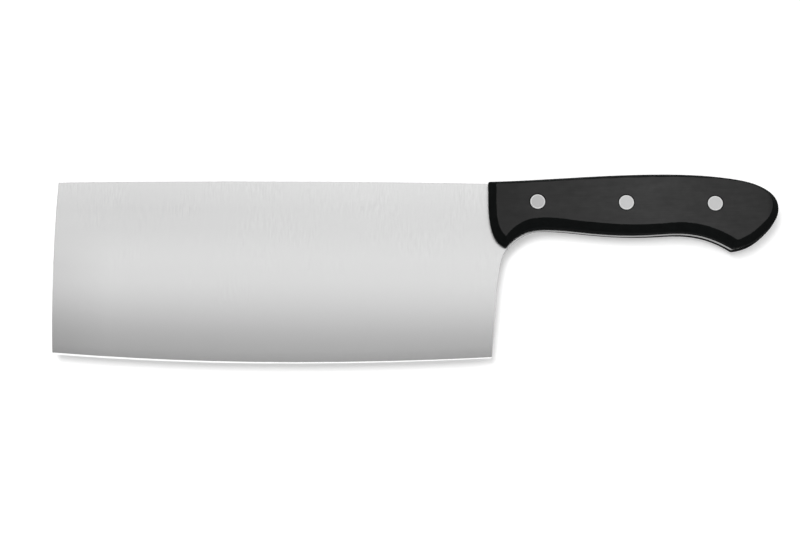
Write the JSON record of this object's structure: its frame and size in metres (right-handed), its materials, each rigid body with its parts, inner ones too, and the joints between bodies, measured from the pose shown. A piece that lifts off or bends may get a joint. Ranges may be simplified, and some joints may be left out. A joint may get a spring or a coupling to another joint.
{
  "type": "chinese cleaver",
  "caption": "Slicing cleaver with a broad rectangular steel blade, ground to a gently curved edge, and a full tang riveted between bevelled black plastic handle scales.",
  "frame": {"origin": "centre of the bottom of the knife's box as it lies on its right side, on the plane of the right scale's flat face", "axes": "+X from the tip to the butt, +Y from the cutting edge to the spine, +Z from the right side of the knife to the left side"},
  "size_m": [0.2986, 0.079, 0.017],
  "materials": {
    "blade_steel": "fine grind across the blade, satin, with a bright honed edge",
    "handle_plastic": "black acetal, sanded flat faces and smooth darker bevels",
    "rivet_metal": "ground flush, satin, with a rounded rim"
  },
  "bodies": {
    "root": {"blade": "blade_steel", "left_scale": "handle_plastic", "right_scale": "handle_plastic", "front_rivet_post": "rivet_metal", "front_rivet_sleeve": "rivet_metal", "middle_rivet_post": "rivet_metal", "middle_rivet_sleeve": "rivet_metal", "rear_rivet_post": "rivet_metal", "rear_rivet_sleeve": "rivet_metal"}
  },
  "joints": []
}
